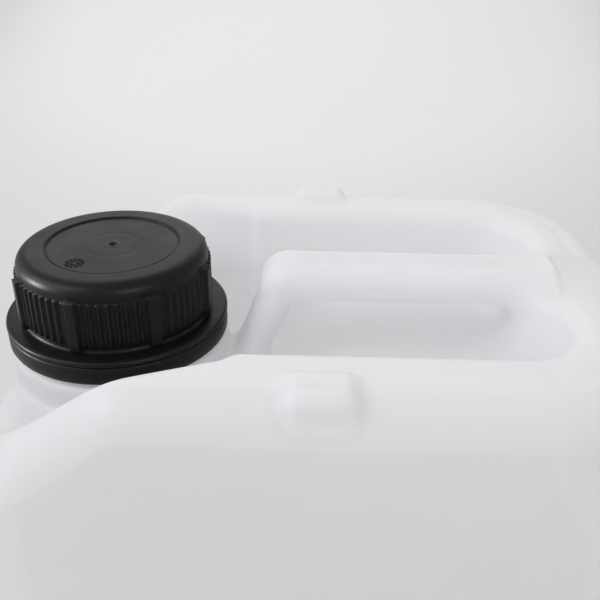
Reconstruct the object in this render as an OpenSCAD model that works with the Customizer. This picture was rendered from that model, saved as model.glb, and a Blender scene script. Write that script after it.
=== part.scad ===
// Stackable plastic jerrycan with an integral handle and a tamper-evident screw cap.
// Millimetres, +Z up, origin at the middle of the foot.

/* [Can] */
// Overall length of the can, along the handle
can_l = 188; // [176:1:200]
// Overall depth of the can
can_d = 137; // [130:1:150]
// Height of the raised rim above the foot
rim_z = 237.5; // [200:0.5:300]
// Wall thickness of the blown shell
wall = 1.4; // [1:0.1:1.8]
// Plan radius of the four upright corners
corner_r = 23; // [20:1:30]
// Radius of the outer top edge
top_r = 11; // [8:0.5:12]
// Radius of the bottom edge
foot_r = 9; // [6:0.5:12]
// Width of the flat ring that the can stands on
foot_w = 9; // [6:1:14]
// Height of the raised panel inside the foot
foot_recess = 3; // [2:0.5:5]

/* [Trough] */
// Depth of the trough floor below the rim
trough_depth = 31.5; // [28:0.5:34]
// Half width of the trough floor beside the handle
trough_half = 38; // [36:0.5:40]
// Sideways run of the trough wall beside the handle
trough_run = 8; // [6:0.5:10]
// Sideways step where the trough widens towards the neck
trough_step = 2.5; // [1:0.5:3]
// Where the trough widens, along X
step_x = -21; // [-24:0.5:-20]
// Right end of the trough floor, along X
trough_end = 67.5; // [66:0.5:69]
// Plan radius of the trough floor's right corners
trough_corner = 10.5; // [8:0.5:12]
// Radius of the lip between the rim and the trough wall
lip_r = 5; // [4:0.5:6]
// Radius between the trough wall and its floor
floor_r = 7; // [5:0.5:9]
// Where the rim starts to fall towards the neck end, along X
fall_x = -49; // [-52:0.5:-46]
// Drop of the falling rim for each millimetre of length
fall_rate = 0.75; // [0.6:0.05:0.8]

/* [Handle] */
// Height of the handle's crest above the rim
handle_rise = 4; // [2:0.5:6]
// Thickness of the grip, seen from the side
grip_t = 11.2; // [10:0.2:13]
// Width of the grip, seen from above
grip_w = 18; // [16:0.5:22]
// Where the grip meets its left leg, along X
grip_left = -10; // [-12:0.5:-8]
// Lean of the left leg from upright, in degrees
leg_lean = 20; // [14:1:22]
// Right edge of the finger opening, along X
grip_right = 63; // [60:0.5:64]

/* [Lugs] */
// Length of a stacking lug along the rim
lug_l = 17; // [12:0.5:22]
// Height of a stacking lug above the rim
lug_rise = 3.3; // [2:0.1:4]
// Place of the two stacking lugs, along X
lug_x = 2; // [-10:1:20]

/* [Neck and cap] */
// Neck axis, along X
neck_x = -59.2; // [-60:0.2:-58]
// Height of the neck's lip above the rim
lip_rise = 3.9; // [3:0.1:6]
// Radius of the cap's skirt between its ribs
skirt_r = 27.8; // [27.6:0.1:28.4]
// Wall thickness of the neck
neck_wall = 2.8; // [2.2:0.1:3]
// Height that a thread stands out from its wall
thread_h = 1.8; // [1.4:0.1:2]
// Clearance between the crest of a thread and the wall that it faces
thread_gap = 0.9; // [0.6:0.1:1.2]
// Rise of the thread in one turn
pitch = 6; // [5:0.5:7]
// Turns of thread on the neck
neck_turns = 1.5; // [1:0.25:1.75]
// Height that the bead over the tamper ring stands out from the neck
bead_h = 3.8; // [3.4:0.1:4.2]
// Radius of the boss that the neck rises from
boss_r = 32.5; // [31.5:0.5:34]
// Outer radius of the cap's flange
flange_r = 33; // [32.5:0.1:35]
// Thickness of the cap's flange
flange_t = 1.6; // [1.2:0.1:2]
// Height of the cap from the flange's underside to its top
cap_h = 22.1; // [21:0.1:24]
// Thickness of the cap's skirt and top
cap_wall = 1.5; // [1.2:0.1:1.6]
// Fine ribs between two broad grip ribs
fine_ribs = 8; // [6:1:8]
// Height that a fine rib stands out
rib_h = 0.7; // [0.4:0.1:0.9]
// Height that a broad grip rib stands out
grip_rib_h = 1.7; // [1.2:0.1:2]
// Width of a broad grip rib
grip_rib_w = 3.4; // [2.6:0.2:4]
// Radius of the sunk panel on the cap
panel_r = 19.3; // [16:0.1:21]
// Depth of the sunk panel on the cap
panel_d = 0.4; // [0.2:0.1:0.6]
// Radius of the cap's rounded top edge
cap_edge_r = 3.9; // [3:0.1:4.5]
// Height of the tamper ring
ring_h = 5.5; // [5:0.1:7]
// Thickness of the sealing disc
gasket_t = 1.6; // [1:0.1:2]

/* [Hidden] */
gap = 0.3;
floor_z = rim_z - trough_depth;
lip_z = rim_z + lip_rise;
cap_roof = cap_wall + 0.5;
cap_top = lip_z + gasket_t + cap_roof;
flange_z = cap_top - cap_h;
ring_z = flange_z - gap - ring_h;
skirt_in = skirt_r - cap_wall;
neck_r = skirt_in - thread_gap - thread_h;
neck_bore_r = neck_r - neck_wall;
bead_r = neck_r + bead_h;
crest_z = rim_z + handle_rise;
grip_z = crest_z - grip_t / 2;
grip_ribs = 8;
rib_turn = -11;
rib_step = 360 / (grip_ribs * (fine_ribs + 1));

// Plan directions shared by all rings of the shell: side fractions and the corner angle
corner_n = 6;
long_n = 16;
short_n = 6;
function side(n) = [for (i = [1:n - 1]) 1 - 2 * i / n];
spokes = concat(
    [for (i = [0:corner_n]) [1, 1, 90 * i / corner_n]],
    [for (u = side(long_n)) [u, 1, 90]],
    [for (i = [0:corner_n]) [-1, 1, 90 + 90 * i / corner_n]],
    [for (u = side(short_n)) [-1, u, 180]],
    [for (i = [0:corner_n]) [-1, -1, 180 + 90 * i / corner_n]],
    [for (u = side(long_n)) [-u, -1, 270]],
    [for (i = [0:corner_n]) [1, -1, 270 + 90 * i / corner_n]],
    [for (u = side(short_n)) [1, -u, 0]]);

// Smooth step from 0 to 1 as v goes from a to b
function ease(a, b, v) = let (t = max(0, min(1, (v - a) / (b - a)))) t * t * (3 - 2 * t);

// Half width of the trough floor, and the sideways run of its wall, at a place along X
function floor_half(x) = trough_half + trough_step * ease(step_x + 2.5, step_x - 2.5, x);
function wall_run(x) = trough_run + (trough_step / 2) * ease(step_x + 2.5, step_x - 2.5, x)
    + 0.43 * max(0, step_x - 3 - x) + 0.02 * pow(max(0, step_x - 34 - x), 2);

// Distance outside the trough floor's outline
function trough_out(x, y) =
    let (qx = x - trough_end + trough_corner, qy = abs(y) - floor_half(x) + trough_corner)
    norm([max(qx, 0), max(qy, 0)]) + min(max(qx, qy), 0) - trough_corner;

// Distance inside the can's outline, with the skin moved in by o
function inside(x, y, o) =
    let (r = corner_r - o, qx = abs(x) - can_l / 2 + corner_r, qy = abs(y) - can_d / 2 + corner_r)
    r - norm([max(qx, 0), max(qy, 0)]) - min(max(qx, qy), 0);

// Height of the rim above the trough floor: level beside the handle, falling past the neck
fall_ease = 6;
function rim_fall(x) = let (u = fall_x - x)
    u > fall_ease ? u * fall_rate : u > -fall_ease ? fall_rate * pow(u + fall_ease, 2) / (4 * fall_ease) : 0;
function rim_h(x) = max(2, trough_depth - rim_fall(x));
function round_k(x) = min(1, rim_h(x) / 16);

// Slope angle of the trough wall, and how far its fillets reach from the corners they round
function slope(x) = atan2(trough_depth, wall_run(x));
function lip_round(x, o) = lip_r * round_k(x) - o * min(1, lip_r * round_k(x) / 2);
function floor_round(x, o) = floor_r * round_k(x) + o;
function lip_reach(x, o) = lip_round(x, o) * tan(slope(x) / 2);
function floor_reach(x, o) = floor_round(x, o) * tan(slope(x) / 2);
function skin_shift(x, o) = o * tan(slope(x) / 2);
function rim_run(x) = rim_h(x) / tan(slope(x));

// Height of the top skin before its outer edge is rounded
function top_height(x, y, o) = let (
    s = slope(x), run = rim_run(x), top = floor_z + rim_h(x) - o,
    e = trough_out(x, y) - skin_shift(x, o),
    tl = lip_reach(x, o), tf = floor_reach(x, o), rl = lip_round(x, o), rf = floor_round(x, o))
    e >= run + tl ? top
    : e > run - tl * cos(s) ? top - rl + sqrt(max(0, rl * rl - pow(e - run - tl, 2)))
    : e > tf * cos(s) ? floor_z - o + e * tan(s)
    : e > -tf ? floor_z - o + rf - sqrt(max(0, rf * rf - pow(e + tf, 2)))
    : floor_z - o;

// Height of the top skin, with its outer edge rounded
function skin_z(x, y, o) = let (r = top_r - o, d = max(0, min(r, inside(x, y, o))))
    top_height(x, y, o) - r + sqrt(max(0, r * r - pow(r - d, 2)));

// A point of the can's outline moved in by d, and the trough floor's point on the same spoke
function outer_point(s, d) = [
    s[0] * (can_l / 2 - corner_r) + max(corner_r - d, 1) * cos(s[2]),
    s[1] * (can_d / 2 - corner_r) + max(corner_r - d, 1) * sin(s[2])];
floor_in = 9;
left_rim = 13;
floor_left = -can_l / 2 + top_r + left_rim;
left_round = 3;
function floor_point(s) = let (
    r = s[0] > 0 ? trough_corner : left_round,
    a = floor_left + left_round, b = trough_end - floor_in - trough_corner,
    x = a + (b - a) * (s[0] + 1) / 2 + r * cos(s[2]))
    [x, s[1] * (floor_half(x) - floor_in - r) + r * sin(s[2])];

// The middle of the trough floor, where every spoke ends
core_in = 13;
core_r = 6;
core_mid = (floor_left + trough_end - floor_in) / 2;
core_l = (trough_end - floor_in - floor_left) / 2 - core_in;
core_w = trough_half - floor_in - core_in;
function core_point(s) = [core_mid + s[0] * core_l + core_r * cos(s[2]), s[1] * core_w + core_r * sin(s[2])];

// Place of a ring across the trough wall: 1 is where the lip begins, -1 where the floor fillet ends
function wall_place(station, x, o) = let (a = slope(x))
    skin_shift(x, o) + (station > 0
        ? rim_run(x) + lip_reach(x, o) - lip_round(x, o) * sin(a * (1 - station))
        : floor_round(x, o) * sin(a * (1 + station)) - floor_reach(x, o));
function share(s, station, even, o) = let (
    a = outer_point(s, top_r), b = floor_point(s), x = (a[0] + b[0]) / 2,
    ea = trough_out(a[0], a[1]), eb = trough_out(b[0], b[1]), e = wall_place(station, x, o),
    fit = min(1, max(0.05, (ea - 1) / wall_place(1, x, o))),
    t = (ea - (e > 0 ? e * fit : e)) / max(1, ea - eb), w = max(0, min(1, ea / 4)))
    even * (1 - w) + t * w;

// Rings of the top skin, from the outer wall inwards over the rim and down to the trough floor
arc_n = 4;
wave_n = 3;
ring_n = 2 * wave_n + 5;
function top_ring(d, o) = [for (s = spokes)
    let (p = outer_point(s, d + o)) [p[0], p[1], skin_z(p[0], p[1], o)]];
function wall_ring(station, even, o) = [for (s = spokes) let (
    t = share(s, station, even, o),
    p = (1 - t) * outer_point(s, top_r) + t * floor_point(s))
    [p[0], p[1], skin_z(p[0], p[1], o)]];
function top_rings(o) = concat(
    [for (i = [0:arc_n]) top_ring((top_r - o) * (1 - cos(90 * i / arc_n)), o)],
    [for (i = [0:wave_n]) wall_ring(1 - 0.98 * i / wave_n, (i + 1) / ring_n, o)],
    [for (i = [0:wave_n]) wall_ring(-i / wave_n, (i + wave_n + 3) / ring_n, o)],
    [[for (s = spokes) let (p = floor_point(s)) [p[0], p[1], floor_z - o]]],
    [[for (s = spokes) let (p = core_point(s)) [p[0], p[1], floor_z - o]]]);

// Rings of the foot, from its raised panel outwards and up to the wall
foot_in = foot_r + foot_w;
function foot_rings(o) = let (k = foot_in - o * tan(22.5)) concat(
    [[for (s = spokes) let (p = outer_point(s, k + foot_recess)) [p[0], p[1], foot_recess + o]]],
    [[for (s = spokes) let (p = outer_point(s, k)) [p[0], p[1], o]]],
    [for (i = [0:3]) let (r = foot_r - o, a = 30 * i)
        [for (s = spokes) let (p = outer_point(s, o + r - r * sin(a))) [p[0], p[1], o + r - r * cos(a)]]]);

// A closed solid through a stack of rings that all have the same number of points
module loft(rings) {
    n = len(rings[0]);
    last = (len(rings) - 1) * n;
    polyhedron(
        points = [for (ring = rings) for (p = ring) p],
        faces = concat(
            [[for (i = [0:n - 1]) i]],
            [for (j = [0:len(rings) - 2]) for (i = [0:n - 1])
                let (a = j * n + i, b = j * n + (i + 1) % n) each [[a, a + n, b + n], [a, b + n, b]]],
            [[for (i = [n - 1:-1:0]) last + i]]),
        convexity = 8);
}

// The tank with its trough, without handle or neck, its skin moved in by o
module tank(o) {
    loft(concat(foot_rings(o), top_rings(o)));
}

// A rounded section square to a path in the XZ plane, a wide in Y and b along the path's normal
section_n = 16;
function bulge(v, n) = sign(v) * pow(abs(v), 2 / n);
function section(c, angle, a, b) = [for (i = [0:section_n - 1]) let (
    t = 360 * i / section_n, u = a * bulge(cos(t), 2.5), v = b * bulge(sin(t), 2.5))
    [c[0] - v * sin(angle), u, c[1] + v * cos(angle)]];

// Centre line of the handle: up the left leg, round its corner, along the grip and into the end wall
bend_r = 9;
bend_n = 5;
bend_x = grip_left + 3.5;
end_run = 9;
leg_turn = 90 - leg_lean;
function bend(a) = [bend_x + bend_r * sin(a), grip_z - bend_r + bend_r * cos(a)];
leg_top = bend(-leg_turn);
function leg_x(z) = leg_top[0] - (leg_top[1] - z) * tan(leg_lean);

// The handle's outer form, its skin moved in by o: flared foot, leg, grip, and its end in the end wall
module grip(o) {
    a = grip_w / 2 - o;
    b = grip_t / 2 - o;
    function leg_ring(z, flare) =
        section([leg_x(z), z], 90, a + flare, b / cos(leg_lean) + flare);
    loft(concat(
        [leg_ring(floor_z - 3 - 2 * o, 3), leg_ring(floor_z + 0.8 - o, 2.6)],
        [leg_ring(floor_z + 3.6 - o / 2, 0.9), leg_ring(floor_z + 8, 0)],
        [for (i = [0:bend_n]) let (t = -leg_turn + leg_turn * i / bend_n) section(bend(t), -t, a, b)],
        [for (i = [1:3]) section([bend_x + (grip_right - 6 - bend_x) * i / 3, grip_z], 0, a, b)],
        [section([grip_right + 3, grip_z - 0.8], -8, a + 0.5, b)],
        [section([grip_right + end_run, grip_z - 2.3], -14, a + 2, b)],
        [section([trough_end + trough_run + 5, grip_z - 4.6], -14, a + 4, b)]));
}

// The root that joins the grip to the end wall, flared to both sides between two round pockets
root_n = 6;
root_rows = [0.127, 0.317, 0.571];
module root(o) {
    pocket_y = trough_half - trough_corner;
    pocket_x = trough_end - trough_corner;
    far = trough_end + trough_run + 4;
    blend = 8;
    function pocket_r(z) = trough_corner + trough_run * (z - floor_z) / trough_depth + o;
    function nose(z) = grip_right + o - 5 * pow(max(0, 1 - (z - floor_z) / 20), 2);
    function slice(z, cut) = let (
        r = pocket_r(z) + cut, x0 = nose(z) + cut,
        top = 80, low = acos(min(1, max(0.05, (x0 + 1.5 - pocket_x) / r))),
        arc = [for (i = [0:root_n]) let (t = blend + (low - blend) * i / root_n)
            [pocket_x + r * cos(t), pocket_y - r * sin(t)]],
        tip = [x0, arc[root_n][1] - 3])
        concat(
            [[far - o, -arc[0][1]]], [[far - o, arc[0][1]]],
            arc, [[x0 + 0.4, max(arc[root_n][1] - 1.2, 1)], [x0, max(tip[1], 0.6)]],
            [[x0, min(-tip[1], -0.6)], [x0 + 0.4, min(-arc[root_n][1] + 1.2, -1)]],
            [for (i = [root_n:-1:0]) [arc[i][0], -arc[i][1]]]);
    function level(z, cut) = [for (p = slice(z, cut)) [p[0], p[1], z]];
    sunk = 1.2;
    top = rim_z - o - sunk;
    edge = 3.5;
    loft(concat(
        [level(floor_z - 2 - o, 0)],
        [for (k = root_rows) level(floor_z + k * trough_depth, 0)],
        [level(top - edge, 0)],
        [for (i = [1:3]) level(top - edge + edge * sin(30 * i), edge - edge * cos(30 * i))]));
}

// The two stacking lugs: each fills out the rounded outer edge of the rim and stands above it
lug_n = 6;
module lugs(o) {
    c = [can_d / 2 - top_r, rim_z - top_r];
    r = top_r - o;
    function round_edge(t) = [c[0] + (r - 0.4) * cos(t), c[1] + (r - 0.4) * sin(t)];
    function full_edge(t) = [c[0] + r * bulge(cos(t), 3.4), c[1] + (r + lug_rise) * bulge(sin(t), 3.4)];
    for (m = [0, 1]) mirror([0, m, 0])
        loft([for (e = [[-1, 0], [-0.9, 0.7], [-0.74, 1], [0.74, 1], [0.9, 0.7], [1, 0]])
            let (x = lug_x + e[0] * (lug_l / 2 - o), h = e[1])
            concat(
                [for (i = [0:lug_n]) let (t = 90 * i / lug_n, p = (1 - h) * round_edge(t) + h * full_edge(t))
                    [x, p[0], p[1]]],
                [[x, c[0] - 1.2 * h, c[1] + r - 3]], [[x, c[0] + 5, c[1] - 1]])]);
}

// The boss that the neck rises from, its skin moved in by o
boss_top = ring_z - 1.6;
module boss(o) {
    translate([neck_x, 0, 0]) rotate_extrude($fn = 56) polygon([
        [0, floor_z - 6], [boss_r - o, floor_z - 6], [boss_r - o, floor_z + 1 - o],
        [boss_r - o - 0.4, boss_top - 1.6 - o],
        [boss_r - o - 1.8, boss_top - o], [0, boss_top - o]]);
}

// Everything that is blown in one: tank, handle, lugs and boss, its skin moved in by o
module form(o) {
    tank(o);
    grip(o);
    root(o);
    lugs(o);
    boss(o);
}

// The hollow shell, open where the neck stands, at its exact length and depth
module shell() {
    resize([can_l, can_d, 0]) difference() {
        form(0);
        form(wall);
        translate([neck_x, 0, boss_top - 4]) cylinder(r = neck_bore_r + 1, h = 8, $fn = 56);
    }
}

// Half widths of a thread at its root and its crest, how far its root is sunk in the wall, and how far
// apart the flanks of the two threads lie
root_w = 1.4;
crest_w = 0.5;
root_in = 0.3;
flank_gap = 1;

// One ridge that winds up round the Z axis, from its root radius to its crest radius
thread_n = 48;
module helix(r_root, r_crest, z0) {
    steps = round(thread_n * neck_turns);
    k = r_crest > r_root ? -1 : 1;
    function fade(i) = min(1, i / 6, (steps - i) / 6);
    loft([for (i = [0:steps]) let (
        t = 360 * i / thread_n, z = z0 + pitch * i / thread_n,
        c = r_root + (r_crest - r_root) * max(0.08, fade(i)))
        [for (p = [[r_root, -k * root_w], [c, -k * crest_w], [c, k * crest_w], [r_root, k * root_w]])
            [p[0] * cos(t), p[0] * sin(t), z + p[1]]]]);
}

thread_top = lip_z - 2.6;
thread_low = thread_top - pitch * neck_turns;

// The neck: lip, wall, and the bead that holds the tamper ring
web_t = 1.1;
bead_z = ring_z + web_t + gap;
module neck() {
    base_z = boss_top - wall / 2;
    seat_r = neck_r + 1.2;
    rotate_extrude($fn = 96) polygon([
        [neck_bore_r, base_z], [seat_r, base_z], [seat_r, boss_top + 0.3], [neck_r, boss_top + 1.2],
        [neck_r, bead_z], [bead_r, bead_z], [bead_r, bead_z + 0.8], [neck_r, bead_z + 3],
        [neck_r, lip_z - 0.6], [neck_r - 0.6, lip_z],
        [neck_bore_r + 0.4, lip_z], [neck_bore_r, lip_z - 0.4]]);
}

// The whole can in one piece: blown shell, neck and its thread
module can_body() {
    color([0.93, 0.94, 0.95]) {
        shell();
        translate([neck_x, 0, 0]) neck();
        translate([neck_x, 0, 0]) helix(neck_r - root_in, neck_r + thread_h, thread_low);
    }
}

// Fine ribs round the skirt, left out where a broad grip rib stands
module fine_outline() {
    circle(r = skirt_r - cap_wall / 2, $fn = 96);
    for (g = [0:grip_ribs - 1]) for (i = [1:fine_ribs])
        rotate(rib_turn + g * 360 / grip_ribs + i * rib_step)
            translate([skirt_r, 0]) rotate(45) square(rib_h * sqrt(2), center = true);
}

// Profile of the cap's outside: flange, skirt, rounded edge and sunk panel with its groove and gate mark
cap_low = flange_z + flange_t;
groove_w = 0.5;
gate_r = 1;
module cap_profile() {
    round_z = cap_top - cap_edge_r;
    round_x = skirt_r - cap_edge_r;
    difference() {
        union() {
            polygon([[0, flange_z], [flange_r, flange_z], [flange_r, cap_low - 0.5],
                [flange_r - 0.5, cap_low], [0, cap_low]]);
            translate([0, flange_z]) square([skirt_r, cap_h - cap_edge_r]);
            translate([0, round_z - 0.1]) square([round_x, cap_edge_r + 0.1]);
            intersection() {
                translate([round_x, round_z]) circle(r = cap_edge_r, $fn = 64);
                translate([0, round_z - 0.1]) square([skirt_r, cap_edge_r + 0.1]);
            }
        }
        translate([-1, cap_top - panel_d]) square([panel_r + 1, 1]);
        translate([panel_r - groove_w, cap_top - 2 * panel_d]) square([groove_w, 1]);
        translate([-1, cap_top - 2 * panel_d]) square([gate_r + 1, 1]);
    }
}

// The screw cap: its wide flange, ribbed skirt, hollow and thread
module cap() {
    rib_top = cap_top - cap_edge_r - 0.6;
    rib_low = cap_low + 2;
    grip_r = skirt_r + grip_rib_h;
    color([0.05, 0.05, 0.055]) translate([neck_x, 0, 0]) {
        difference() {
            union() {
                rotate_extrude($fn = 96) cap_profile();
                translate([0, 0, rib_low]) linear_extrude(rib_top - rib_low) fine_outline();
                intersection() {
                    for (g = [0:grip_ribs - 1]) rotate(rib_turn + g * 360 / grip_ribs)
                        translate([skirt_r - cap_wall / 2, -grip_rib_w / 2, cap_low - 0.1])
                            cube([cap_wall / 2 + grip_rib_h + 1, grip_rib_w, rib_top - cap_low + 1]);
                    rotate_extrude($fn = 96) polygon([[0, cap_low - 1], [grip_r, cap_low - 1],
                        [grip_r, rib_top - grip_rib_h], [skirt_r - 0.4, rib_top + 0.4], [0, rib_top + 0.4]]);
                }
            }
            translate([0, 0, flange_z - 1]) cylinder(r = skirt_in, h = cap_h + 1 - cap_roof, $fn = 96);
        }
        helix(skirt_in + root_in, skirt_in - thread_h, thread_low - pitch / 2 + flank_gap);
    }
}

// The ring left on the neck: a band, a web that snaps under the neck's bead, and stubs of its broken bridges
bridge_n = 12;
module tamper_ring() {
    out_r = flange_r - 0.1;
    band_t = 1.6;
    web_in = bead_r - 1;
    top_z = ring_z + ring_h;
    color([0.05, 0.05, 0.055]) translate([neck_x, 0, 0]) {
        rotate_extrude($fn = 96) polygon([
            [web_in, ring_z], [out_r - 0.7, ring_z], [out_r, ring_z + 0.7], [out_r, top_z],
            [out_r - band_t, top_z], [out_r - band_t, ring_z + web_t],
            [web_in + 0.4, ring_z + web_t], [web_in, ring_z + web_t - 0.4]]);
        for (i = [0:bridge_n - 1]) rotate(i * 360 / bridge_n)
            translate([out_r - 1.2, -0.5, top_z - 0.5]) cube([0.9, 1, 0.5 + gap - 0.1]);
    }
}

// The sealing disc in the cap, lying on the neck's lip
module cap_gasket() {
    color([0.9, 0.9, 0.88]) translate([neck_x, 0, lip_z])
        cylinder(r = skirt_in - gap, h = gasket_t, $fn = 96);
}

can_body();
cap();
tamper_ring();
cap_gasket();
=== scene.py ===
import math

import bpy
import numpy as np
from mathutils import Matrix, Vector


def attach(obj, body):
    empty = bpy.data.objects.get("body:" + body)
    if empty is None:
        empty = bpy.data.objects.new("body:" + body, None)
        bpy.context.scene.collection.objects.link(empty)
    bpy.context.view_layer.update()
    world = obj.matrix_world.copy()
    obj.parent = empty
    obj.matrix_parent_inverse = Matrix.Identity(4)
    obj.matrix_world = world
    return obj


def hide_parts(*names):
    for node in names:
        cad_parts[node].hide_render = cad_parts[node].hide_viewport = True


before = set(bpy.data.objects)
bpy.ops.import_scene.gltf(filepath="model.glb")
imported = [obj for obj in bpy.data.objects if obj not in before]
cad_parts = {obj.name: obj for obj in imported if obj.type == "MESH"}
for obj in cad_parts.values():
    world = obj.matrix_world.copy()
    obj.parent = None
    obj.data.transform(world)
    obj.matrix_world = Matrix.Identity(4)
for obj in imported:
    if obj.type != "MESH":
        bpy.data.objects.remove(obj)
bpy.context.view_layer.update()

mm = 0.001
print("frame loaded:", sorted(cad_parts))


# Meshes

def makeMesh(name, points, faces, smooth=True):  # points in millimetres
    mesh = bpy.data.meshes.new(name)
    mesh.from_pydata((np.asarray(points, float) * mm).tolist(), [], [list(map(int, f)) for f in faces])
    mesh.validate()
    mesh.update()
    if smooth:
        mesh.shade_smooth()
    piece = bpy.data.objects.new(name, mesh)
    bpy.context.scene.collection.objects.link(piece)
    return piece


def latheMesh(name, ringPoints, closed=False):  # one ring of points after another, joined by quads
    rows, columns = len(ringPoints), len(ringPoints[0])
    points = np.concatenate([np.asarray(r, float) for r in ringPoints])
    faces = []
    last = rows if closed else rows - 1
    for j in range(last):
        a0, b0 = j * columns, ((j + 1) % rows) * columns
        for i in range(columns):
            k = (i + 1) % columns
            faces.append((a0 + i, a0 + k, b0 + k, b0 + i))
    return makeMesh(name, points, faces)


# Smooth form of the blown can, as a field that is negative inside

can = {
    "length": 188.0, "depth": 137.0, "rimZ": 237.5, "cornerRadius": 23.0, "shoulderRadius": 17.0,
    "shoulderZ": (190.0, 230.0), "topRadius": 11.0, "footRadius": 9.0, "footInset": 18.0, "footRecess": 3.0,
    "troughDepth": 31.5, "troughHalf": 37.0, "troughRun": 6.6, "troughStep": 2.5, "stepX": -21.0, "stepEase": 3.0,
    "troughEnd": 64.0, "troughCorner": 10.5, "lipRadius": 5.0, "floorRadius": 7.0, "fallX": -49.0, "fallRate": 0.75,
    "fallEase": 6.0, "leastRise": 2.0, "softRise": 16.0, "buried": 12.0, "blendBoss": 2.5, "blendRoot": 3.0,
    "blendLug": 3.2, "cell": (1.25, 1.25), "margin": 1.1,
    "layers": ((-1.0, 12.5, 1.5), (12.5, 185.0, 8.6), (185.0, 243.0, 1.1)),
}
grip = {
    "rise": 4.0, "thick": 11.2, "wide": 18.0, "round": 5.2, "left": -8.6, "legIn": 3.5, "lean": 20.0, "bend": 6.0,
    "bendSteps": 8, "legThin": 0.9, "blendFoot": 7.5, "blendEnd": 9.0, "blendOver": (0.0, 50.0), "cornerBlend": 3.0,
    "tail": ((57.0, 0.0), (66.0, -0.8), (72.0, -2.3), (84.0, -6.0)),
}
root = {"right": 60.6, "noseFlare": 9.0, "noseHeight": 23.0, "noseRadius": 7.0, "topRadius": 4.0, "drop": 0.8,
        "inset": 16.0}
lug = {"x": 2.0, "long": 17.0, "rise": 2.3, "y": 60.6, "half": 6.0, "high": 5.4, "round": 3.2}
# settings of the painted light mask: painted highlights on convex bends, painted light on the pocket walls, painted
# shade under the grip
paintedLight = {"bend": 0.3, "step": 0.6, "pocket": 0.85, "inset": (-4.0, -10.0), "besideGrip": 3.0, "besideRoot": (-8.0, 2.0),
        "fromFloor": 1.0, "toRim": 3.0, "shade": 0.8, "shadeWide": (8.0, 2.0)}
neck = {
    "x": -59.2, "bore": 20.8, "outer": 23.6, "lipZ": 241.4, "lipEdge": 0.5, "lipRound": 0.7, "bossRadius": 32.5,
    "bossTop": 215.5, "bossEdge": 2.0, "bead": 27.4, "beadZ": 218.4, "down": 24.0, "threadHeight": 1.8, "pitch": 6.0,
    "turns": 1.5, "threadRows": 48, "threadHalf": 1.4, "threadFlank": 0.9, "columns": 144,
}
floorZ = can["rimZ"] - can["troughDepth"]
gripZ = can["rimZ"] + grip["rise"] - grip["thick"] / 2
buriedZ = floorZ - can["buried"]


def ease(a, b, v):
    t = np.clip((v - a) / (b - a), 0, 1)
    return t * t * (3 - 2 * t)


def joinSoft(a, b, k):  # union with a soft blend k wide
    h = np.clip(0.5 + 0.5 * (b - a) / k, 0, 1)
    return b + (a - b) * h - k * h * (1 - h)


def cutRound(a, b, r):  # intersection with a fillet of radius r
    return np.hypot(np.maximum(a + r, 0), np.maximum(b + r, 0)) - r + np.minimum(np.maximum(a + r, b + r), 0)


def outline(x, y, z, inset=0.0):  # the corners far from the neck open into wider shoulders near the top
    r = can["cornerRadius"] + can["shoulderRadius"] * ease(*can["shoulderZ"], z) * (x > 0)
    qx, qy = np.abs(x) - can["length"] / 2 + r, np.abs(y) - can["depth"] / 2 + r
    return np.hypot(np.maximum(qx, 0), np.maximum(qy, 0)) + np.minimum(np.maximum(qx, qy), 0) - r + inset


def troughHeight(x, y):  # height of the top skin before its outer edge is rounded
    stepX, stepEase = can["stepX"], can["stepEase"]
    step = ease(stepX + stepEase, stepX - stepEase, x)
    half = can["troughHalf"] + can["troughStep"] * step
    run = can["troughRun"] + can["troughStep"] / 2 * step + 0.43 * np.maximum(0, stepX - stepEase - x) \
        + 0.02 * np.maximum(0, stepX - 34 - x) ** 2  # the wall opens out towards the neck
    slope = np.arctan2(can["troughDepth"], run)
    u, w = can["fallX"] - x, can["fallEase"]
    fall = np.where(u > w, u * can["fallRate"], np.where(u > -w, can["fallRate"] * (u + w) ** 2 / (4 * w), 0))
    rise = np.maximum(can["leastRise"], can["troughDepth"] - fall)
    soft = np.minimum(1, rise / can["softRise"])
    run = rise / np.tan(slope)
    rl, rf = can["lipRadius"] * soft, can["floorRadius"] * soft
    tl, tf = rl * np.tan(slope / 2), rf * np.tan(slope / 2)
    corner = can["troughCorner"]
    qx, qy = x - can["troughEnd"] + corner, np.abs(y) - half + corner
    e = np.hypot(np.maximum(qx, 0), np.maximum(qy, 0)) + np.minimum(np.maximum(qx, qy), 0) - corner
    lip = rise - rl + np.sqrt(np.maximum(0, rl ** 2 - (e - run - tl) ** 2))
    foot = rf - np.sqrt(np.maximum(0, rf ** 2 - (e + tf) ** 2))
    h = np.where(e >= run + tl, rise, np.where(e > run - tl * np.cos(slope), lip, np.where(
        e > tf * np.cos(slope), e * np.tan(slope), np.where(e > -tf, foot, 0))))
    return floorZ + h


def gripPath():  # middle of the leg, its bend and the grip, in x and z
    bx, r, lean, steps = grip["left"] + grip["legIn"], grip["bend"], math.radians(grip["lean"]), grip["bendSteps"]
    turn = math.radians(90) - lean
    arc = []
    for i in range(steps + 1):
        a = turn * (1 - i / steps)
        arc.append((bx + r * math.sin(-a), gripZ - r + r * math.cos(a)))
    topX, topZ = arc[0]
    tail = [(x, gripZ + drop) for x, drop in grip["tail"]]
    return [(topX - (topZ - buriedZ) * math.tan(lean), buriedZ)] + arc + tail


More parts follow.
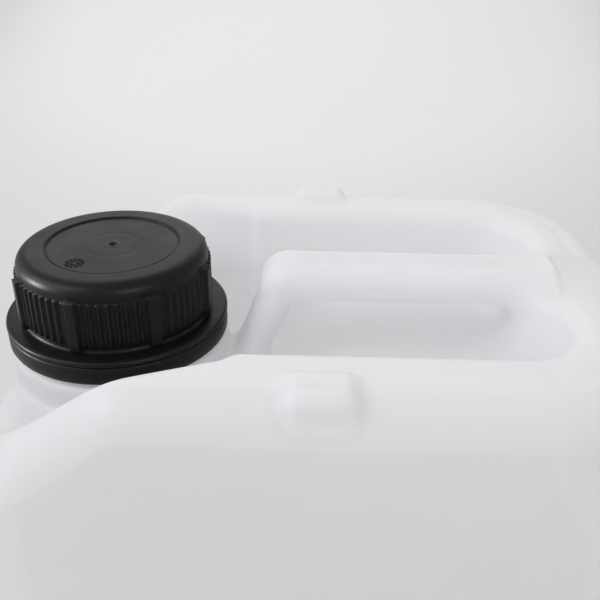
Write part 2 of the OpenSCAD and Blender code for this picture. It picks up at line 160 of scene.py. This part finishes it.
def gripField(x, y, z):
    parts = []
    path = gripPath()
    middle = grip["bendSteps"] // 2 + 1
    for stretch in (path[:middle + 1], path[middle:]):  # leg and grip, blended inside their corner
        near = np.full(x.shape, 1e9)
        for (ax, az), (bx, bz) in zip(stretch, stretch[1:]):
            dx, dz = bx - ax, bz - az
            t = np.clip(((x - ax) * dx + (z - az) * dz) / (dx * dx + dz * dz), 0, 1)
            near = np.minimum(near, np.hypot(x - ax - t * dx, z - az - t * dz))
        parts.append(near)
    near = joinSoft(parts[0], parts[1], grip["cornerBlend"])
    r = grip["round"]
    leg = ease(grip["left"] + 4, grip["left"] - 4, x) * ease(gripZ + 2, gripZ - 6, z)
    qu, qv = np.abs(y) - grip["wide"] / 2 + r, near - grip["thick"] / 2 + r + grip["legThin"] * leg
    return np.hypot(np.maximum(qu, 0), np.maximum(qv, 0)) + np.minimum(np.maximum(qu, qv), 0) - r


def rootField(x, y, z):  # web between the grip and the end wall, between the two round pockets
    corner = can["troughCorner"]
    cx, cy = can["troughEnd"] - corner, can["troughHalf"] - corner
    rise = z - floorZ
    pocket = corner + can["troughRun"] * rise / can["troughDepth"]
    nose = root["right"] - root["noseFlare"] * np.maximum(0, 1 - rise / root["noseHeight"]) ** 2
    side = pocket - np.hypot(x - cx, np.abs(y) - cy)
    web = cutRound(nose - x, side, root["noseRadius"])
    web = cutRound(web, z - can["rimZ"] + root["drop"], root["topRadius"])
    return np.maximum(np.maximum(web, outline(x, y, z, root["inset"])), buriedZ - z)


def lugField(x, y, z):
    r = lug["round"]
    half = (lug["long"] / 2, lug["half"], lug["high"])
    mid = (lug["x"], lug["y"], can["rimZ"] + lug["rise"] - half[2])
    q = [np.abs(x - mid[0]) - half[0] + r, np.abs(np.abs(y) - mid[1]) - half[1] + r, np.abs(z - mid[2]) - half[2] + r]
    out = np.sqrt(sum(np.maximum(v, 0) ** 2 for v in q))
    return out + np.minimum(np.maximum(np.maximum(q[0], q[1]), q[2]), 0) - r


def canField(x, y, z):
    d = 0.4
    h = troughHeight(x, y)
    steep = np.sqrt(1 + ((troughHeight(x + d, y) - troughHeight(x - d, y)) / (2 * d)) ** 2
                    + ((troughHeight(x, y + d) - troughHeight(x, y - d)) / (2 * d)) ** 2)
    out = outline(x, y, z)
    tank = cutRound(out, (z - h) / steep, can["topRadius"])
    tank = cutRound(tank, np.clip(-out - can["footInset"], 0, can["footRecess"]) - z, can["footRadius"])
    boss = cutRound(np.hypot(x - neck["x"], y) - neck["bossRadius"], z - neck["bossTop"], neck["bossEdge"])
    f = joinSoft(tank, np.maximum(boss, buriedZ - z), can["blendBoss"])
    f = joinSoft(f, rootField(x, y, z), can["blendRoot"])
    f = joinSoft(f, lugField(x, y, z), can["blendLug"])
    blend = grip["blendFoot"] + (grip["blendEnd"] - grip["blendFoot"]) * ease(*grip["blendOver"], x)
    return joinSoft(f, gripField(x, y, z), blend)


def surfaceNet(field, xs, ys, zs):  # points and quads of the field's zero surface, on a grid that may be uneven
    gx, gy, gz = np.meshgrid(xs, ys, zs, indexing="ij")
    values = field(gx, gy, gz)
    inside = values < 0
    cells = tuple(n - 1 for n in values.shape)
    total, count = np.zeros(cells + (3,)), np.zeros(cells)
    axes = (xs, ys, zs)
    quads = []
    crossings = []
    for axis in range(3):
        lo = [slice(None)] * 3
        hi = [slice(None)] * 3
        lo[axis], hi[axis] = slice(0, -1), slice(1, None)
        va, vb = values[tuple(lo)], values[tuple(hi)]
        crossed = (va < 0) != (vb < 0)
        i, j, k = np.nonzero(crossed)
        t = va[i, j, k] / (va[i, j, k] - vb[i, j, k])
        at = [xs[i], ys[j], zs[k]]
        index = (i, j, k)[axis]
        at[axis] = axes[axis][index] + t * (axes[axis][index + 1] - axes[axis][index])
        at = np.stack(at, 1)
        others = [n for n in range(3) if n != axis]
        around = []
        for da, db in ((0, 0), (1, 0), (1, 1), (0, 1)):
            cell = [i.copy(), j.copy(), k.copy()]
            cell[others[0]] -= da
            cell[others[1]] -= db
            ok = np.all([(c >= 0) & (c < n) for c, n in zip(cell, cells)], axis=0)
            np.add.at(total, tuple(c[ok] for c in cell), at[ok])
            np.add.at(count, tuple(c[ok] for c in cell), 1)
            around.append((cell, ok))
        crossings.append((around, inside[tuple(lo)][i, j, k], axis))
    used = count > 0
    number = np.full(cells, -1)
    number[used] = np.arange(used.sum())
    points = total[used] / count[used][:, None]
    for around, firstInside, axis in crossings:
        allOk = np.all([ok for cell, ok in around], axis=0)
        corner = np.stack([number[tuple(c[allOk] for c in cell)] for cell, ok in around], 1)
        flip = firstInside[allOk] ^ (axis == 1)
        corner[~flip] = corner[~flip][:, ::-1]
        quads.append(corner)
    return points, np.concatenate(quads)


def settle(field, points, rounds=3):  # moves points onto the zero surface along its normal
    d = 0.05
    for i in range(rounds):
        x, y, z = points.T
        g = np.stack([field(x + d, y, z) - field(x - d, y, z), field(x, y + d, z) - field(x, y - d, z),
                      field(x, y, z + d) - field(x, y, z - d)], 1) / (2 * d)
        f = field(x, y, z)
        move = f[:, None] * g / np.maximum(0.2, (g ** 2).sum(1))[:, None]
        points = points - np.clip(move, -0.6, 0.6)
    return points


def paintedLightMask(field, points):  # 0 to 1: painted light, a painted highlight along bulging corners and painted light on the pocket walls, held back by painted shade under the grip
    d = paintedLight["step"]
    x, y, z = points.T
    bend = (field(x + d, y, z) + field(x - d, y, z) + field(x, y + d, z) + field(x, y - d, z)
            + field(x, y, z + d) + field(x, y, z - d) - 6 * field(x, y, z)) / d ** 2
    # painted highlight: convex bends get a brighter base colour
    bulge = np.sqrt(np.clip(bend / paintedLight["bend"], 0, 1))
    edge, away = grip["wide"] / 2, np.abs(y)
    inner = ease(*paintedLight["inset"], outline(x, y, z))
    besideGrip = ease(edge - paintedLight["besideGrip"], edge + paintedLight["besideGrip"], away)
    besideRoot = ease(root["right"] + paintedLight["besideRoot"][0], root["right"] + paintedLight["besideRoot"][1], x)
    # painted light on the pocket walls beside the grip and the root
    pocketPaintedLight = np.maximum(besideGrip, besideRoot) * inner \
        * ease(floorZ + paintedLight["fromFloor"], can["rimZ"] - paintedLight["toRim"], z)
    # painted shade under the grip, which takes back the painted highlight there
    under = ease(edge + paintedLight["shadeWide"][0], edge + paintedLight["shadeWide"][1], away) \
        * ease(gripZ - grip["thick"] / 2, gripZ - grip["thick"], z) * inner
    return np.maximum(bulge * (1 - paintedLight["shade"] * under), paintedLight["pocket"] * pocketPaintedLight)


def spread(start, end, step):
    return np.linspace(start, end, max(2, int(round((end - start) / step)) + 1))


def makeCan():
    half = np.array([can["length"] / 2, can["depth"] / 2])
    xs, ys = (spread(-h - can["margin"], h + can["margin"], cell) for h, cell in zip(half, can["cell"]))
    zs = np.concatenate([spread(*layer)[:-1] for layer in can["layers"][:-1]] + [spread(*can["layers"][-1])])
    points, quads = surfaceNet(canField, xs, ys, zs)
    points = settle(canField, points)
    points[:, :2] = np.clip(points[:, :2], -half, half)
    points[:, 2] = np.maximum(points[:, 2], 0)
    print("can surface:", len(points), "points", len(quads), "quads", points.min(0).round(2), points.max(0).round(2))
    piece = makeMesh("can_shell", points, quads)
    # stores the painted light mask (painted highlights and painted pocket light) for the material
    wall = piece.data.attributes.new("paintedLightMask", "FLOAT", "POINT")
    wall.data.foreach_set("value", paintedLightMask(canField, points))
    return piece


# Neck with its lip, thread and bead

def circlePoints(profile, columns, bump=None):  # one ring for each (radius, height) of the profile
    rings = []
    for row, (r, z) in enumerate(profile):
        ring = []
        for i in range(columns):
            a = 2 * math.pi * i / columns
            rr = r + (bump(a, z, row) if bump else 0)
            ring.append((neck["x"] + rr * math.cos(a), rr * math.sin(a), z))
        rings.append(ring)
    return rings


def makeNeck():
    n = neck
    bore, outer, base, lip, bead = n["bore"], n["outer"], n["bossTop"], n["lipZ"], n["beadZ"]
    profile = [(bore, base - n["down"]), (bore, lip - n["lipEdge"]), (bore + n["lipEdge"], lip),
               (outer - n["lipRound"], lip), (outer, lip - n["lipRound"])]
    lipRows = len(profile)
    low = lip - 2.6 - n["pitch"] * n["turns"]
    profile += [(outer, z) for z in np.linspace(lip - 0.8, bead + 3.2, n["threadRows"])]
    profile += [(outer, bead + 3), (n["bead"], bead + 0.9), (n["bead"], bead), (outer + 0.2, bead - 0.6),
                (outer, base + 1.6), (outer + 0.5, base + 0.6), (outer + 1.6, base - 0.1), (outer + 1.6, base - 1)]

    def thread(a, z, row):
        if row < lipRows or z < bead + 3.1:
            return 0
        best = 0
        for turn in range(3):
            along = turn + a / (2 * math.pi)
            if along > n["turns"]:
                continue
            fade = min(1, along * 8, (n["turns"] - along) * 8)
            flank = (n["threadHalf"] - abs(z - (low + n["pitch"] * along))) / n["threadFlank"]
            best = max(best, fade * n["threadHeight"] * min(1, max(0, flank)))
        return best

    return latheMesh("can_neck", circlePoints(profile, n["columns"], thread))


# Screw cap

cap = {
    "top": 245.0, "roof": 243.0, "high": 22.1, "skirt": 27.8, "inner": 26.3, "flange": 33.0, "flangeThick": 1.6, "edge": 3.9,
    "panel": 19.3, "panelDepth": 0.45, "ribs": 8, "fineRibs": 8, "ribTurn": -11.0, "ribHeight": 0.7, "gripHeight": 1.7,
    "gripWide": 3.4, "ribTop": 240.4, "ribLow": 226.5, "columns": 720, "wall": 1.5, "panelWall": 2.0,
    "markX": -7.7, "markY": -13.0, "markRadius": 2.3,
}


def capTopHeight(x, y):  # recess, gate dimple, its ring and the mould mark, as depth below the top
    r = math.hypot(x, y)
    d = cap["panelDepth"] * ease(cap["panel"] + 0.35, cap["panel"] - 0.35, r)
    d += 0.35 * math.exp(-((r - cap["panel"]) / 0.35) ** 2)
    d += 0.05 * math.exp(-((r - 8.0) / 0.9) ** 2)
    d += 0.7 * math.exp(-(r / 0.8) ** 2) - 0.12 * math.exp(-((r - 1.6) / 0.5) ** 2)
    mx, my = x - cap["markX"], y - cap["markY"]
    mr = math.hypot(mx, my)
    if mr < 4.0:
        a = math.atan2(my, mx)
        d += 0.4 * (0.5 + 0.5 * math.cos(11 * a)) * math.exp(-((mr - cap["markRadius"]) / 0.5) ** 4)
        d += 0.35 * (0.5 + 0.5 * math.cos(6 * a)) * math.exp(-((mr - cap["markRadius"] / 2) / 0.45) ** 4)
    return float(d)


def makeCap():
    c = cap
    top, low = c["top"], c["top"] - c["high"]
    rings = []
    columns = c["columns"]
    cosines = [(math.cos(2 * math.pi * i / columns), math.sin(2 * math.pi * i / columns)) for i in range(columns)]
    turn = math.radians(c["ribTurn"])
    pitch = 2 * math.pi / (c["ribs"] * (c["fineRibs"] + 1))

    # top face in two steps: a fine polar grid down to the rounded edge
    radii = np.concatenate([[0.02], np.arange(0.4, 18.6, 0.4), np.arange(18.6, 20.4, 0.15),
                            np.linspace(20.6, c["skirt"] - c["edge"], 6)])
    for r in radii:
        rings.append([(neck["x"] + r * u, r * v, top - capTopHeight(r * u, r * v)) for u, v in cosines])
    for i in range(1, 11):
        a = math.radians(9 * i)
        r = c["skirt"] - c["edge"] + c["edge"] * math.sin(a)
        rings.append((r, top - c["edge"] + c["edge"] * math.cos(a)))
    heights = [top - c["edge"] - 0.3]
    heights += [rib + step for rib in (c["ribTop"], c["ribTop"] - 0.5) for step in (0.08, 0.03, -0.08)]  # flat rib tops
    heights += [c["ribTop"] - 1.0, c["ribTop"] - 1.5, *np.linspace(c["ribTop"] - 2.2, c["ribLow"] + 0.6, 12)]
    heights += [c["ribLow"] + step for step in (0.3, 0.1, 0.0, -0.2, -0.8)]
    rings += [(c["skirt"], float(z)) for z in heights]
    flangeTop = low + c["flangeThick"]
    rings += [(c["skirt"], flangeTop + 0.9), (c["skirt"] + 0.15, flangeTop + 0.35), (c["skirt"] + 0.6, flangeTop + 0.05),
              (c["skirt"] + 1.2, flangeTop), (c["flange"] - 0.9, flangeTop - 0.05), (c["flange"] - 0.35, flangeTop - 0.2),
              (c["flange"] - 0.05, flangeTop - 0.6), (c["flange"], flangeTop - 0.9), (c["flange"], low + 0.3),
              (c["flange"] - 0.3, low), (c["inner"] + 0.3, low), (c["inner"], low + 0.3), (c["inner"], c["roof"] - 0.4),
              (c["inner"] - 0.4, c["roof"]), (0.02, c["roof"])]

    def ribOut(a, z):
        share = ((a - turn) / pitch) % 1.0
        slot = int(math.floor((a - turn) / pitch + 0.5)) % (c["fineRibs"] + 1)
        out = 0.0
        ribTop = c["ribTop"] - 0.5
        if slot != 0:
            away = abs(share - 0.5)
            wave = max(0.0, (away - 0.18) / 0.32)
            end = ease(ribTop + 0.04, ribTop - 0.06, z) * ease(c["ribLow"] - 0.1, c["ribLow"] + 0.3, z)
            out = c["ribHeight"] * min(1.0, wave * 1.6) * float(end)
        beat = 2 * math.pi / c["ribs"]
        off = (a - turn + beat / 2) % beat - beat / 2
        wide = abs(off) * c["skirt"]
        if wide < c["gripWide"] / 2 + 0.3:
            side = float(ease(c["gripWide"] / 2 + 0.25, c["gripWide"] / 2 - 0.35, wide))
            end = float(ease(c["ribTop"] + 0.04, c["ribTop"] - 0.06, z) * ease(c["ribLow"] - 2.6, c["ribLow"] - 2.2, z))
            out = max(out, c["gripHeight"] * side * end)
        return out

    full = []
    for ring in rings:
        if isinstance(ring, list):
            full.append(ring)
            continue
        r, z = ring
        pts = []
        for i, (u, v) in enumerate(cosines):
            rr = r
            if c["skirt"] - 1.2 < r <= c["skirt"] + 0.01 and flangeTop + 0.5 < z < c["ribTop"] + 1.2:
                rr = r + ribOut(2 * math.pi * i / columns, z)
            pts.append((neck["x"] + rr * u, rr * v, z))
        full.append(pts)
    return latheMesh("screw_cap", [row[::-1] for row in full])


# Tamper ring left under the cap

def makeRing():
    top, low, out, inn = 222.6, 217.1, 32.9, 31.3
    profile = [(26.4, low + 0.7), (26.4, low + 0.2), (26.7, low), (out - 1.0, low), (out - 0.3, low + 0.2), (out, low + 0.8),
               (out, top - 0.4), (out - 0.3, top), (inn + 0.2, top), (inn, top - 0.2), (inn, low + 1.1), (26.8, low + 1.1)]
    return latheMesh("tamper_band", circlePoints(profile, 288), closed=True)


# Materials

def newMaterial(name):
    material = bpy.data.materials.new(name)
    material.use_nodes = True
    return material, material.node_tree.nodes, material.node_tree.links, material.node_tree.nodes["Principled BSDF"]


def grainGroup():  # moulded surface: fine grain, slow unevenness and a tone that changes with them
    group = bpy.data.node_groups.new("mouldedSurface", "ShaderNodeTree")
    face = group.interface
    face.new_socket("Tone", in_out="INPUT", socket_type="NodeSocketColor")
    for label, value in (("Grain Scale", 1500.0), ("Grain Height", 0.2), ("Wave Scale", 60.0), ("Wave Height", 0.3),
                         ("Tone Change", 0.05), ("Rough Low", 0.3), ("Rough High", 0.4)):
        face.new_socket(label, in_out="INPUT", socket_type="NodeSocketFloat").default_value = value
    face.new_socket("Color", in_out="OUTPUT", socket_type="NodeSocketColor")
    face.new_socket("Roughness", in_out="OUTPUT", socket_type="NodeSocketFloat")
    face.new_socket("Height", in_out="OUTPUT", socket_type="NodeSocketFloat")
    nodes, links = group.nodes, group.links
    given, result = nodes.new("NodeGroupInput"), nodes.new("NodeGroupOutput")
    place = nodes.new("ShaderNodeTexCoord")
    grain, wave = nodes.new("ShaderNodeTexNoise"), nodes.new("ShaderNodeTexNoise")
    grain.inputs["Detail"].default_value = 3
    wave.inputs["Detail"].default_value = 4
    for texture, label in (grain, "Grain Scale"), (wave, "Wave Scale"):
        links.new(place.outputs["Object"], texture.inputs["Vector"])
        links.new(given.outputs[label], texture.inputs["Scale"])
    parts = []
    for texture, label in ((grain, "Grain Height"), (wave, "Wave Height")):
        times = nodes.new("ShaderNodeMath")
        times.operation = "MULTIPLY"
        links.new(texture.outputs["Fac"], times.inputs[0])
        links.new(given.outputs[label], times.inputs[1])
        parts.append(times)
    add = nodes.new("ShaderNodeMath")
    links.new(parts[0].outputs[0], add.inputs[0])
    links.new(parts[1].outputs[0], add.inputs[1])
    links.new(add.outputs[0], result.inputs["Height"])
    rough, tone = nodes.new("ShaderNodeMapRange"), nodes.new("ShaderNodeMapRange")
    for spreadOut in (rough, tone):
        links.new(wave.outputs["Fac"], spreadOut.inputs["Value"])
        spreadOut.inputs["From Min"].default_value = 0.3
        spreadOut.inputs["From Max"].default_value = 0.7
    links.new(given.outputs["Rough Low"], rough.inputs["To Min"])
    links.new(given.outputs["Rough High"], rough.inputs["To Max"])
    links.new(rough.outputs["Result"], result.inputs["Roughness"])
    low = nodes.new("ShaderNodeMath")
    low.operation = "SUBTRACT"
    low.inputs[0].default_value = 1.0
    links.new(given.outputs["Tone Change"], low.inputs[1])
    links.new(low.outputs[0], tone.inputs["To Min"])
    tone.inputs["To Max"].default_value = 1.0
    scale = nodes.new("ShaderNodeVectorMath")
    scale.operation = "SCALE"
    links.new(given.outputs["Tone"], scale.inputs[0])
    links.new(tone.outputs["Result"], scale.inputs["Scale"])
    links.new(scale.outputs["Vector"], result.inputs["Color"])
    return group


surfaceGroup = grainGroup()


def mouldedMaterial(name, tone, values, bump, **sockets):
    material, nodes, links, shader = newMaterial(name)
    group = nodes.new("ShaderNodeGroup")
    group.node_tree = surfaceGroup
    group.inputs["Tone"].default_value = (*tone, 1)
    for label, value in values.items():
        group.inputs[label].default_value = value
    links.new(group.outputs["Color"], shader.inputs["Base Color"])
    links.new(group.outputs["Roughness"], shader.inputs["Roughness"])
    lift = nodes.new("ShaderNodeBump")
    lift.inputs["Strength"].default_value = bump
    lift.inputs["Distance"].default_value = 0.0003
    links.new(group.outputs["Height"], lift.inputs["Height"])
    links.new(lift.outputs["Normal"], shader.inputs["Normal"])
    for label, value in sockets.items():
        shader.inputs[label.replace("_", " ")].default_value = value
    return material


canPlastic = mouldedMaterial(
    "naturalPolyethylene", (0.872, 0.875, 0.882),
    {"Grain Scale": 900.0, "Grain Height": 0.15, "Wave Scale": 45.0, "Wave Height": 0.5, "Tone Change": 0.025,
     "Rough Low": 0.36, "Rough High": 0.46}, 0.25)
capPlastic = mouldedMaterial(
    "blackPolypropylene", (0.004, 0.004, 0.0046),
    {"Grain Scale": 1800.0, "Grain Height": 0.35, "Wave Scale": 90.0, "Wave Height": 0.25, "Tone Change": 0.25,
     "Rough Low": 0.34, "Rough High": 0.44}, 0.35, Specular_IOR_Level=0.17)
foam = mouldedMaterial(
    "sealingFoam", (0.82, 0.81, 0.78),
    {"Grain Scale": 2400.0, "Grain Height": 0.8, "Wave Scale": 120.0, "Wave Height": 0.2, "Tone Change": 0.06,
     "Rough Low": 0.6, "Rough High": 0.75}, 0.5)


def translucentWithPaintedLight(material, tone, part, gain):  # the blown wall lets light in and out through a translucent mix; the base colour is also brightened by the painted light mask, painted highlights on convex edges and painted light in the pockets
    nodes, links = material.node_tree.nodes, material.node_tree.links
    shader, result = nodes["Principled BSDF"], nodes["Material Output"]
    wall, brighter = nodes.new("ShaderNodeAttribute"), nodes.new("ShaderNodeMath")
    lift = nodes.new("ShaderNodeVectorMath")
    # painted light: the mask brightens the base colour by the gain
    wall.attribute_name = "paintedLightMask"
    brighter.operation, lift.operation = "MULTIPLY_ADD", "SCALE"
    brighter.inputs[1].default_value = gain
    brighter.inputs[2].default_value = 1.0
    links.new(wall.outputs["Fac"], brighter.inputs[0])
    links.new(shader.inputs["Base Color"].links[0].from_socket, lift.inputs[0])
    links.new(brighter.outputs["Value"], lift.inputs["Scale"])
    links.new(lift.outputs["Vector"], shader.inputs["Base Color"])
    through, mix = nodes.new("ShaderNodeBsdfTranslucent"), nodes.new("ShaderNodeMixShader")
    through.inputs["Color"].default_value = (*tone, 1)
    mix.inputs["Fac"].default_value = part
    links.new(shader.outputs["BSDF"], mix.inputs[1])
    links.new(through.outputs["BSDF"], mix.inputs[2])
    links.new(mix.outputs["Shader"], result.inputs["Surface"])


# translucent mix, plus the painted light gain on the base colour
translucentWithPaintedLight(canPlastic, (0.95, 0.955, 0.965), 0.5, 0.12)
print("materials ready")


def finishPiece(piece, body, material, node=None):
    piece.data.materials.clear()
    piece.data.materials.append(material)
    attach(piece, body)
    if node:
        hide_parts(node)


shell, throat = makeCan(), makeNeck()
finishPiece(shell, "can", canPlastic, "can_body")
finishPiece(throat, "can", canPlastic)
print("can ready")
screwCap, band = makeCap(), makeRing()
finishPiece(screwCap, "cap", capPlastic, "cap")
finishPiece(band, "can", capPlastic, "tamper_ring")
print("cap ready")
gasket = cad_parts["cap_gasket"]
gasket.data.materials.clear()
gasket.data.materials.append(foam)

# Camera, fitted to the photograph: 600 pixel frame
view = {"focal": 769.76, "frame": 600.0, "pitch": 29.23, "roll": 0.99, "yaw": -0.70,
        "place": (-1.31, -204.25, 341.57)}
lens = bpy.data.cameras.new("studioCamera")
lens.sensor_width = 36.0
lens.lens = view["focal"] / view["frame"] * lens.sensor_width
camera = bpy.data.objects.new("studioCamera", lens)
bpy.context.scene.collection.objects.link(camera)
turnBy = {key: math.radians(view[key]) for key in ("pitch", "roll", "yaw")}
camera.matrix_world = Matrix.Translation(Vector(view["place"]) * mm) @ Matrix.Rotation(-turnBy["yaw"], 4, "Z") \
    @ Matrix.Rotation(math.radians(90) - turnBy["pitch"], 4, "X") @ Matrix.Rotation(turnBy["roll"], 4, "Z")
bpy.context.scene.camera = camera

# Studio: pale sweep carrying a painted pool of light, soft lamps, plain world
studio = {"aim": (0, 0, 0.22), "floor": (0.82, 0.812, 0.804), "paintedPoolEdge": (0.665, 0.658, 0.65),
          "poolY": 2.0, "poolSize": 2.2, "world": 0.74, "floorSize": 6.0}
scene = bpy.context.scene
scene.view_settings.view_transform = "Standard"


def makeSweep():
    half, back, high, bend, steps = studio["floorSize"] / 2, 2.6, 3.0, 1.2, 12
    line = [(-half, 0.0), (back - bend, 0.0)]
    for i in range(1, steps + 1):
        a = math.radians(90 * i / steps)
        line.append((back - bend + bend * math.sin(a), bend - bend * math.cos(a)))
    line.append((back, high))
    points = [(x * 1000, y * 1000, z * 1000) for y, z in line for x in (-half, half)]
    faces = [(2 * i, 2 * i + 1, 2 * i + 3, 2 * i + 2) for i in range(len(line) - 1)]
    sweep = makeMesh("paleSweep", points, faces)
    material, nodes, links, shader = newMaterial("palePaper")
    shader.inputs["Base Color"].default_value = (*studio["floor"], 1)
    # painted pool of light: the sweep's colour is brightest at the pool centre and darkens to a painted edge tone
    place, paintedPool = nodes.new("ShaderNodeTexCoord"), nodes.new("ShaderNodeMapping")
    fade, ramp = nodes.new("ShaderNodeTexGradient"), nodes.new("ShaderNodeValToRGB")
    paintedPool.inputs["Location"].default_value = (0, -studio["poolY"] / studio["poolSize"], 0)
    paintedPool.inputs["Scale"].default_value = (2 / studio["poolSize"], 1 / studio["poolSize"], 0)
    fade.gradient_type = "SPHERICAL"
    ramp.color_ramp.interpolation = "EASE"
    for stop, tone, at in zip(ramp.color_ramp.elements, (studio["paintedPoolEdge"], studio["floor"]), (0.2, 0.5)):
        stop.position, stop.color = at, (*tone, 1)
    links.new(place.outputs["Object"], paintedPool.inputs["Vector"])
    links.new(paintedPool.outputs["Vector"], fade.inputs["Vector"])
    links.new(fade.outputs["Color"], ramp.inputs["Fac"])
    links.new(ramp.outputs["Color"], shader.inputs["Base Color"])
    shader.inputs["Roughness"].default_value = 0.9
    sweep.data.materials.append(material)


makeSweep()
world = bpy.data.worlds.new("studioWorld")
scene.world = world
world.use_nodes = True
world.node_tree.nodes["Background"].inputs["Color"].default_value = (1, 1, 1, 1)
world.node_tree.nodes["Background"].inputs["Strength"].default_value = studio["world"]

lamps = [
    {"name": "windowBack", "place": (-0.2, 1.6, 1.25), "size": 1.7, "power": 7.2, "tone": (1, 1, 1)},
    {"name": "leftSide", "place": (-1.3, 0.05, 0.98), "size": 0.36, "power": 2.8, "tone": (0.93, 0.95, 1)},
    {"name": "frontTop", "place": (-0.9, -0.6, 1.2), "size": 0.4, "power": 5.2, "tone": (0.96, 0.97, 1)},
    {"name": "capLeft", "place": (-0.46, -0.05, 0.285), "size": 0.1, "power": 2.0, "tone": (0.95, 0.97, 1),
     "only": (screwCap, band)},
    {"name": "capRight", "place": (0.2, -0.42, 0.5), "size": 0.08, "power": 0.7, "tone": (1, 1, 1),
     "only": (screwCap, band)},
]
for lamp in lamps:
    light = bpy.data.lights.new(lamp["name"], "AREA")
    light.energy, light.size, light.color = lamp["power"], lamp["size"], lamp["tone"]
    holder = bpy.data.objects.new(lamp["name"], light)
    holder.visible_camera = False
    if lamp.get("only"):
        holder.light_linking.receiver_collection = bpy.data.collections.new(lamp["name"] + "Receivers")
        for piece in lamp["only"]:
            holder.light_linking.receiver_collection.objects.link(piece)
    way = Vector(studio["aim"]) - Vector(lamp["place"])
    holder.matrix_world = Matrix.Translation(lamp["place"]) @ way.to_track_quat("-Z", "Y").to_matrix().to_4x4()
    scene.collection.objects.link(holder)
print("studio ready")
